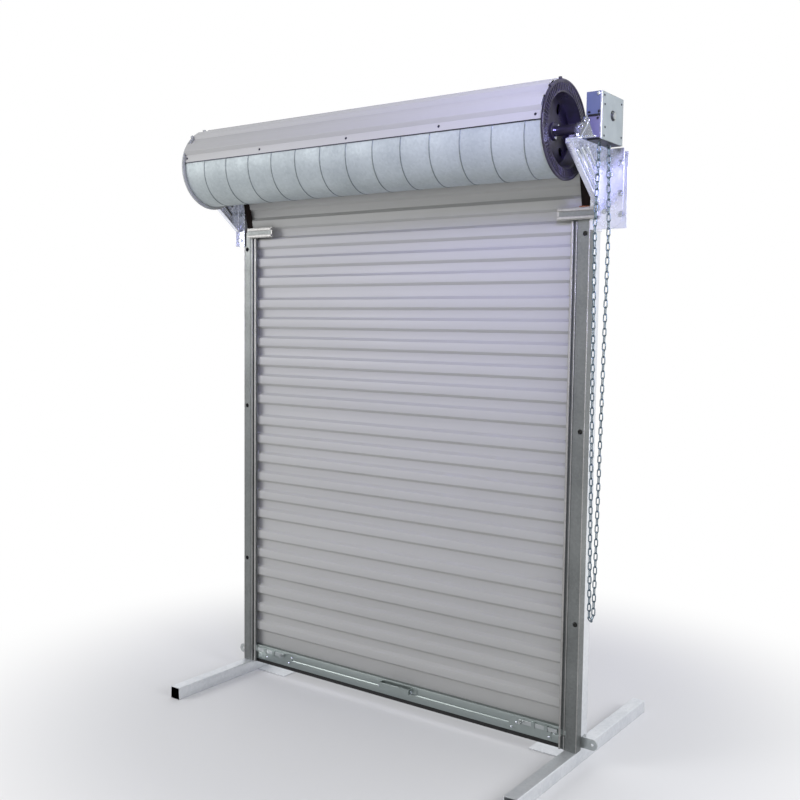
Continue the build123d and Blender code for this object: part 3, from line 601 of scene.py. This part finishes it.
# %% Hand chain
pocket_low, pocket_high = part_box("pocket_wheel")
pocket_axis = (pocket_low + pocket_high) / 2
link_pitch, link_wire, link_width, link_gap = mm(24), mm(4), mm(15), mm(0.5)
pockets, upper_links, lower_links = 8, 15, 55
strand_spread = mm(54)           # half the distance between the strands where they are widest
pitch_radius = link_pitch / (2 * sin(pi / pockets))
bottom_radius = link_pitch / (2 * sin(pi / 4))
upper_drop = sqrt((upper_links * link_pitch) ** 2 - (strand_spread - pitch_radius) ** 2)
lower_drop = sqrt((lower_links * link_pitch) ** 2 - (strand_spread - bottom_radius) ** 2)


def link_geometry(shape):
    """One link in its own XZ plane, its length along Z."""
    bend = (link_width - link_wire) / 2
    straight = link_pitch + link_gap + link_wire - 2 * bend
    first = bmesh.ops.create_circle(shape, cap_ends=False, segments=6, radius=link_wire / 2,
                                    matrix=Matrix.Translation((bend, 0, -straight / 2)))
    edges = list({edge for vert in first["verts"] for edge in vert.link_edges})
    for way in (1, -1):
        made = bmesh.ops.extrude_edge_only(shape, edges=edges)["geom"]
        verts = [item for item in made if isinstance(item, bmesh.types.BMVert)]
        bmesh.ops.translate(shape, verts=verts, vec=(0, 0, way * straight))
        edges = [item for item in made if isinstance(item, bmesh.types.BMEdge)
                 and all(vert in verts for vert in item.verts)]
        made = bmesh.ops.spin(shape, geom=edges, cent=(0, 0, way * straight / 2), axis=(0, 1, 0),
                              angle=-pi, steps=4, use_duplicate=False)["geom_last"]
        edges = [item for item in made if isinstance(item, bmesh.types.BMEdge)]
    bmesh.ops.remove_doubles(shape, verts=shape.verts, dist=mm(0.05))


def strand_joints():
    """Where links meet, as Y, Z points round the whole loop."""
    y, z = pocket_axis.y, pocket_axis.z
    joints = [(y - pitch_radius * cos(2 * pi * i / pockets), z + pitch_radius * sin(2 * pi * i / pockets))
              for i in range(pockets // 2)]
    corners = [(y + pitch_radius, z, upper_links), (y + strand_spread, z - upper_drop, lower_links),
               (y + bottom_radius, z - upper_drop - lower_drop, 1),
               (y, z - upper_drop - lower_drop - bottom_radius, 1),
               (y - bottom_radius, z - upper_drop - lower_drop, lower_links),
               (y - strand_spread, z - upper_drop, upper_links), (y - pitch_radius, z, 0)]
    for (y0, z0, count), (y1, z1, _) in zip(corners, corners[1:]):
        joints += [(y0 + (y1 - y0) * k / count, z0 + (z1 - z0) * k / count) for k in range(count)]
    return joints


joints = strand_joints()
one_link = bpy.data.meshes.new("one_link")
shape = bmesh.new()
link_geometry(shape)
shape.to_mesh(one_link)
shape.free()
shape = bmesh.new()
for i, (y0, z0) in enumerate(joints):
    y1, z1 = joints[(i + 1) % len(joints)]
    along = Vector((0, y1 - y0, z1 - z0)).normalized()
    sideways = along.cross(Vector((1, 0, 0)))
    turned = Matrix.Rotation(pi / 2 if i % 2 == 0 else 0, 4, "Z")
    tilt = Matrix((Vector((1, 0, 0)), sideways, along)).transposed().to_4x4()
    before = len(shape.verts)
    shape.from_mesh(one_link)
    shape.verts.ensure_lookup_table()
    bmesh.ops.transform(shape, verts=shape.verts[before:], matrix=Matrix.Translation(
        (pocket_axis.x, (y0 + y1) / 2, (z0 + z1) / 2)) @ tilt @ turned)
bpy.data.meshes.remove(one_link)
piece("hand_chain_links", shape, chain_zinc, stands_for=("hand_chain",), smooth=80)
print("links:", len(joints))

# %% [markdown]
# The rest of the head is pressed and bolted metal. Two more helpers build it: a slab with rounded edges, turned as
# its place says, and a ring of round wire. The gussets' swages are deep: each is a rounded bead pressed out of the
# sheet, parallel to the sloping edge. It takes the bolts' bright zinc instead of the sheet's finish, as a painted
# highlight.

# %% Slabs, rings and the gussets' swages
def slab(shape, place, x_mm, y_mm, z_mm, round_mm=1.5, segments=2):
    """A rounded slab of the given size about a place."""
    made = bmesh.ops.create_cube(shape, size=1, matrix=place @ Matrix.Diagonal((mm(x_mm), mm(y_mm), mm(z_mm), 1)))
    edges = list({edge for vert in made["verts"] for edge in vert.link_edges})
    bmesh.ops.bevel(shape, geom=edges, offset=mm(round_mm), offset_type="OFFSET", segments=segments, profile=0.5,
                    affect="EDGES", material=-1, clamp_overlap=True)


def slab_between(shape, low, high, round_mm=1.5):
    """A rounded slab that fills the box between two corners, in millimetres."""
    middle = [mm(a + b) / 2 for a, b in zip(low, high)]
    slab(shape, Matrix.Translation(middle), *(b - a for a, b in zip(low, high)), round_mm)


def wire_ring(shape, place, radius_mm, wire_mm):
    """A ring of round wire that lies flat on its place."""
    wire = bmesh.ops.create_circle(
        shape, cap_ends=False, segments=8, radius=mm(wire_mm),
        matrix=place @ Matrix.Translation((mm(radius_mm), 0, 0)) @ Matrix.Rotation(pi / 2, 4, "X"))
    edges = list({edge for vert in wire["verts"] for edge in vert.link_edges})
    bmesh.ops.spin(shape, geom=wire["verts"] + edges, cent=place.translation, axis=place.col[2].to_3d(),
                   dvec=(0, 0, 0), angle=2 * pi, steps=28, use_merge=True, use_duplicate=False)


nose, heel = Vector((-370.4, 2193.9)), Vector((-124.4, 2005.9))     # ends of the gusset's sloping edge, y and z
slope = (heel - nose).normalized()
inward = Vector((-slope.y, slope.x))
slope_turn = Matrix.Rotation(atan2(slope.y, slope.x), 4, "X")
swages = ((34, 186), (66, 146), (98, 92))         # distance from the edge, length
swage_deep, swage_wide, swage_proud = 13, 19, 10
# Bright zinc on the swages: painted highlight on the gusset's sheet.
for side, sheet_x in (("left", -902.5), ("right", 838.5)):
    shape = bmesh.new()
    middle_x = sheet_x + swage_proud - swage_deep / 2
    for offset, length in swages:
        spot = (nose + heel) / 2 + inward * offset
        slab(shape, Matrix.Translation((mm(middle_x), mm(spot.x), mm(spot.y))) @ slope_turn,
             swage_deep, length, swage_wide, 6, 3)
    piece("bracket_swages_" + side, shape, bright_zinc)

# %% [markdown]
# Hexagon bolts with washers hold the gussets' wall flanges, five on the right and three on the left.

# %% Bolts of the brackets
flange_front = -111.2            # y of the wall flanges' front faces
bolt_spots = {"right": ((861, 1998), (916, 2156), (917, 2055), (921, 1984), (879, 2120)),
              "left": ((-885, 2165), (-885, 2080), (-885, 1965))}
for side, spots in bolt_spots.items():
    shape = bmesh.new()
    for x, z in spots:
        hex_bolt(shape, facing("-y", mm(x), mm(flange_front), mm(z)), 15, 6, 11)
    piece("bracket_bolts_" + side, shape, bright_zinc)

# %% [markdown]
# The axle is held by a saddle: a strap bent over the pipe, its two feet bolted to the gusset's top flange. The
# strap is an outline turned half way round the axle, closed at both ends. On the hoist's side a three-cornered
# ear with two rings and a stay stands before it, and a cap closes the pipe.

# %% Axle clamps
pipe_radius, strap = 16.7, 4     # the strap's thickness
clamp_floor = 2207               # top of the gusset's upper flange
axle_mm = axle * 1000
for side, low_x, high_x in (("left", -905.5, -874.5), ("right", 844.5, 880.5)):
    shape = bmesh.new()
    middle_x, wide = (low_x + high_x) / 2, high_x - low_x - 4
    around = Matrix.Translation((mm(middle_x), axle.y, axle.z))
    half = wide / 2
    corners = [around @ Vector((mm(x), mm(-radius), 0)) for x, radius in
               ((-half, pipe_radius), (half, pipe_radius), (half, pipe_radius + strap),
                (-half, pipe_radius + strap))]
    bmesh.ops.spin(shape, geom=closed_line(shape, corners), cent=around.translation, axis=(1, 0, 0),
                   dvec=(0, 0, 0), angle=-pi, steps=14, use_duplicate=False)
    bmesh.ops.holes_fill(shape, edges=[edge for edge in shape.edges if edge.is_boundary], sides=6)
    for way in (-1, 1):
        leg = axle_mm.y + way * (pipe_radius + strap / 2)
        slab_between(shape, (middle_x - half, leg - strap / 2, clamp_floor + 1),
                     (middle_x + half, leg + strap / 2, axle_mm.z), 0.6)
        foot = axle_mm.y + way * (pipe_radius + 12)
        slab_between(shape, (middle_x - half, foot - 12, clamp_floor + strap),
                     (middle_x + half, foot + 12, clamp_floor + 2 * strap), 1.2)
        hex_bolt(shape, facing("+z", mm(middle_x), mm(foot + way * 2), mm(clamp_floor + 2 * strap)), 12, 6, 9)
    slab_between(shape, (low_x, axle_mm.y - 42, clamp_floor), (high_x, axle_mm.y + 42, clamp_floor + strap), 1)
    slab_between(shape, (low_x + 6, axle_mm.y - 15, clamp_floor + strap),
                 (high_x - 6, axle_mm.y + 15, clamp_floor + 2 * strap), 1)
    piece("axle_saddle_" + side, shape, bright_zinc, stands_for=("axle_clamp_" + side,))

shape = bmesh.new()
ear_front, ear_back = mm(-342), mm(-336.4)
ear_corners = ((868, 2211), (921, 2207.5), (895, 2284))
ear = shape.faces.new([shape.verts.new((mm(x), ear_back, mm(z))) for x, z in ear_corners])
thick = bmesh.ops.extrude_face_region(shape, geom=[ear])["geom"]
bmesh.ops.translate(shape, verts=[item for item in thick if isinstance(item, bmesh.types.BMVert)],
                    vec=(0, ear_front - ear_back, 0))
upright = [edge for edge in shape.edges if abs(edge.verts[0].co.y - edge.verts[1].co.y) > mm(1)]
bmesh.ops.bevel(shape, geom=upright, offset=mm(7), offset_type="OFFSET", segments=4, profile=0.5, affect="EDGES",
                material=-1, clamp_overlap=True)
wire_ring(shape, facing("-y", mm(895), ear_front, mm(2262)), 8, 2.2)
wire_ring(shape, facing("-y", mm(874), ear_front + mm(1), mm(2244)), 7, 2.2)
slab(shape, Matrix.Translation((mm(888), ear_front - mm(2), mm(2234))) @ Matrix.Rotation(radians(29), 4, "Y"),
     8, 4, 52, 1.5)
slab_between(shape, (864, -343, 2207.5), (926, -330, 2213), 1.5)
piece("axle_ear", shape, bright_zinc)

shape = bmesh.new()
pipe_end = facing("+x", mm(883), axle.y, axle.z)
disc(shape, 18.5, -1, 5, pipe_end, 32, 16)
disc(shape, 9, 5, 11, pipe_end, 6)
piece("axle_end_cap", shape, satin_zinc)

# %% [markdown]
# The hoist's case is two folded boxes on one grey-green paint; the case's blue grey is painted shade, and the dark
# gap between the boxes and the dark plate under the case are slabs of painted shade. The lower box's front is a
# panel painted plum grey for the violet light on it. A strip along the cover's edge is painted highlight, small
# dark screws hold the cover, and a dark ring goes round the shaft's boss.

# %% Fittings of the hoist
case_front, cover_face = -315.9, 936.5
boss = facing("+x", mm(937), mm(-232.6), mm(2289.4))
# The lower front panel, plum grey: painted violet light.
shape = bmesh.new()
slab_between(shape, (883, case_front - 2.5, 2209), (931, case_front + 2, 2277), 1.2)
piece("hoist_lower_panel", shape, powder_coat_painted_violet_light)
# Dark slabs of painted shade: the gap in the case's front and the plate under the case.
shape = bmesh.new()
slab_between(shape, (882.5, case_front - 1, 2279), (932, case_front + 2, 2285), 0.8)
slab_between(shape, (884, -314, 2203.4), (932, -151, 2207.2), 1)
piece("hoist_gap_painted_shade", shape, painted_shade_sheet)
# A bright strip along the cover's front edge: painted highlight.
shape = bmesh.new()
slab_between(shape, (cover_face - 6, case_front - 3, 2206), (cover_face, case_front + 1.5, 2356), 1.4)
piece("hoist_cover_edge_highlight", shape, galvanised_bracket_painted_light)
shape = bmesh.new()
for y, z in ((-297, 2316), (-292, 2244), (-166, 2338), (-162, 2230), (-300, 2345), (-298, 2216)):
    dome_screw(shape, facing("+x", mm(cover_face - 0.2), mm(y), mm(z)), 4, 2.4)
wire_ring(shape, boss @ Matrix.Translation((0, 0, mm(-0.2))), 15, 2.2)
for x, z in ((926, 2292), (922, 2270), (892, 2292), (892, 2268)):
    dome_screw(shape, facing("-y", mm(x), mm(case_front - 2), mm(z)), 4.5, 3)
piece("hoist_screws", shape, dark_zinc)
shape = bmesh.new()
disc(shape, 9, 0, 3, boss, 24, 8)
disc(shape, 7, 3, 6, boss, 24, 4)
hex_bolt(shape, facing("-y", mm(924), mm(case_front - 2), mm(2348)), 8, 4, 6)
piece("hoist_boss", shape, bright_zinc)

# %% [markdown]
# Each stop bar is a channel with two rails and a wide groove; the groove is a slab in darker zinc, painted shade
# between the rails. The guides have a rolled lip beside the curtain, a groove and a thin bead; the beads are in a
# lighter zinc than the guide as a painted highlight, and the guide's darker zinc between them partly stands for
# shade. Above each guide a dark brown strip follows the leaning curtain's edge, and the saw has left a smear of
# rust on the right guide's cut end.

# %% Rails, beads and strips
for side, low_x, high_x, front in (("left", -838, -695, -117.4), ("right", 690, 832, -122.4)):
    shape = bmesh.new()
    for rail_z in (1975, 2003):
        slab_between(shape, (low_x, front - 5, rail_z), (high_x, front + 1, rail_z + 10), 1.6)
    piece("stop_rails_" + side, shape, galvanised_stop)
    # The groove: a darker slab between the rails, painted shade.
    shape = bmesh.new()
    slab_between(shape, (low_x + 4, front - 0.6, 1986), (high_x - 4, front + 1, 2002), 0.3)
    piece("stop_groove_painted_shade_" + side, shape, galvanised_strip_and_shade)

guide_front = -103.4
beads = ((0.5, 8, 2.6), (20, 23, 1.8), (68, 71.5, 1.6))    # near and far side from the mouth, height
for side, mouth, way in (("left", -800.5, -1), ("right", 733.5, 1)):
    # The beads, lighter than the guide: painted highlight.
    shape = bmesh.new()
    for near, far, rise in beads:
        low_x, high_x = sorted((mouth + way * near, mouth + way * far))
        slab_between(shape, (low_x, guide_front - rise, 52), (high_x, guide_front + 1, 1971), 1.2)
    piece("guide_beads_" + side, shape, galvanised_stop)

lean = Vector((-0.217, 0.976))                    # the leaning curtain's direction, y and z
lean_turn = Matrix.Rotation(atan2(-lean.x, lean.y), 4, "X")
for side, strip_x in (("left", -842), ("right", 786)):
    shape = bmesh.new()
    slab(shape, Matrix.Translation((mm(strip_x), mm(-108), mm(2070))) @ lean_turn, 34, 4, 124, 1.2)
    piece("edge_strip_" + side, shape, stained_wood)
shape = bmesh.new()
slab_between(shape, (762, -108, 2012), (804, -100, 2021), 2.5)
piece("rust_smear", shape, rusty_edge)

# %% [markdown]
# The bottom bar carries rivets and bolts: those of the slide bolts' plates, and the two of the lift handle.

# %% Fixings of the bottom bar
bar_front = -95.2
shape = bmesh.new()
for x, z in ((553, 104), (712, 104), (690, 82), (532, 82), (-585, 110), (-752, 110), (-604, 84), (-735, 84)):
    dome_screw(shape, facing("-y", mm(x), mm(bar_front), mm(z)), 5, 4)
for x, z in ((-94, 100), (64, 107)):
    hex_bolt(shape, facing("-y", mm(x), mm(bar_front + 0.6), mm(z)), 12, 6, 9)
piece("bar_fixings", shape, bright_zinc)

# %% [markdown]
# The camera stands where the photographer stood: about 2.3 m to the right and 3.3 m in front of the door, at
# eye height, with a 44 mm lens, looking left and slightly down. Those values come from fitting the photograph's
# straight lines to the door's own sizes. The angles turn into one rotation: forward, right and up.

# %% Camera
camera_place = Vector((2.3082, -3.3089, 1.6011))
yaw, pitch, roll = 0.6247, 0.0768, 0.0122
focal_px, picture_px = 987.0, 800
ahead = Vector((-sin(yaw) * cos(pitch), cos(yaw) * cos(pitch), -sin(pitch)))
level = Vector((cos(yaw), sin(yaw), 0))
upward = level.cross(ahead)
right = level * cos(roll) + upward * sin(roll)
up = upward * cos(roll) - level * sin(roll)
lens = bpy.data.cameras.new("camera")
lens.sensor_width = 36
lens.sensor_height = 36
lens.sensor_fit = "HORIZONTAL"
lens.lens = focal_px / picture_px * lens.sensor_width
camera = bpy.data.objects.new("camera", lens)
camera.matrix_world = Matrix((
    (right.x, up.x, -ahead.x, camera_place.x), (right.y, up.y, -ahead.y, camera_place.y),
    (right.z, up.z, -ahead.z, camera_place.z), (0, 0, 0, 1)))
bpy.context.scene.collection.objects.link(camera)
bpy.context.scene.camera = camera
bpy.context.scene.view_settings.view_transform = "Standard"
print("lens", round(lens.lens, 1), "mm at", camera_place[:])

# %% [markdown]
# The studio is a pale floor under a white surround. The surround is the world itself: the camera sees plain
# white, shiny surfaces see white beside and behind the door and grey on the photographer's side, as in a real
# studio. The floor is a wide sheet of grey-white paper that keeps the soft contact shadow. A few metres from the
# door it fades to the surround's white for the camera, so that there is no horizon.

# %% Floor and surround
floor_shape = bmesh.new()
bmesh.ops.create_grid(floor_shape, x_segments=1, y_segments=1, size=14)
floor_mesh = bpy.data.meshes.new("floor")
floor_shape.to_mesh(floor_mesh)
floor_shape.free()
floor_paper, floor_shader = new_material("floor_paper", "#D2D2D3", 0.0, 0.7)
floor_rays = add(floor_paper, "ShaderNodeLightPath")
floor_seen = add(floor_paper, "ShaderNodeMath", {"operation": "MAXIMUM"}, i0=floor_rays.outputs["Is Camera Ray"],
                 i1=floor_rays.outputs["Is Glossy Ray"]).outputs[0]
from_door = add(floor_paper, "ShaderNodeVectorMath", {"operation": "LENGTH"},
                i0=placed(floor_paper)).outputs["Value"]
fade = add(floor_paper, "ShaderNodeMapRange", {"interpolation_type": "SMOOTHSTEP"}, Value=from_door, From_Min=1.0,
           From_Max=2.3, To_Min=0.0, To_Max=1.0).outputs["Result"]
fade_seen = add(floor_paper, "ShaderNodeMath", {"operation": "MULTIPLY"}, i0=fade, i1=floor_seen).outputs[0]
floor_white = add(floor_paper, "ShaderNodeEmission", Color=(1, 1, 1, 1), Strength=1.0).outputs[0]
floor_mix = add(floor_paper, "ShaderNodeMixShader", Fac=fade_seen, i1=floor_shader.outputs[0], i2=floor_white)
floor_paper.node_tree.links.new(floor_mix.outputs[0], floor_paper.node_tree.nodes["Material Output"].inputs[0])
floor_mesh.materials.append(floor_paper)
floor = bpy.data.objects.new("floor", floor_mesh)
bpy.context.scene.collection.objects.link(floor)

world = bpy.data.worlds.new("studio")
bpy.context.scene.world = world
world.use_nodes = True
world.node_tree.nodes.clear()
rays = add(world, "ShaderNodeLightPath")
seen = add(world, "ShaderNodeMath", {"operation": "MAXIMUM"}, i0=rays.outputs["Is Camera Ray"],
           i1=rays.outputs["Is Transmission Ray"]).outputs[0]
facing_y = add(world, "ShaderNodeSeparateXYZ",
               Vector=add(world, "ShaderNodeTexCoord").outputs["Generated"]).outputs["Y"]
studio = add(world, "ShaderNodeMapRange", {"interpolation_type": "SMOOTHSTEP"}, Value=facing_y, From_Min=-0.9,
             From_Max=0.2, To_Min=0.42, To_Max=0.95).outputs["Result"]
lit = add(world, "ShaderNodeBackground", Color=(0.96, 0.97, 1, 1), Strength=studio).outputs[0]
white = add(world, "ShaderNodeBackground", Color=(1, 1, 1, 1), Strength=1.0).outputs[0]
chosen = add(world, "ShaderNodeMixShader", Fac=seen, i1=lit, i2=white).outputs[0]
add(world, "ShaderNodeOutputWorld", Surface=chosen)
print("surround ready")

# %% [markdown]
# Four soft boxes light the door: a wide key from the upper left front, a strong side light from the right
# that brightens the posts' sides and the brackets, a weak top light, and a small violet one that gives the
# upper right its cast. Their powers bring the painted sheet near the grey that the photograph shows.

# %% Soft boxes
def soft_box(name, place, target, size, power, tint=(1, 1, 1), spread=180):
    """A square area lamp aimed at a point. Power is in watts and spread in degrees."""
    lamp = bpy.data.lights.new(name, "AREA")
    lamp.shape = "SQUARE"
    lamp.size = size
    lamp.energy = power
    lamp.color = tint
    lamp.spread = radians(spread)
    made = bpy.data.objects.new(name, lamp)
    made.matrix_world = (Matrix.Translation(place)
                         @ (Vector(target) - Vector(place)).to_track_quat("-Z", "Y").to_matrix().to_4x4())
    bpy.context.scene.collection.objects.link(made)
    return made


soft_box("key", (-3.5, -4.2, 2.7), (0, 0, 1.2), 2.4, 120)
soft_box("side", (4.6, -0.6, 2.6), (0.4, 0, 1.3), 2.0, 118, (0.95, 0.96, 1))
soft_box("violet", (1.9, -2.1, 2.9), (0.55, -0.2, 2.15), 0.6, 8, (0.52, 0.5, 1), 65)
soft_box("top", (0, -0.5, 5.2), (0, 0, 0), 3.0, 3)
print("four soft boxes")
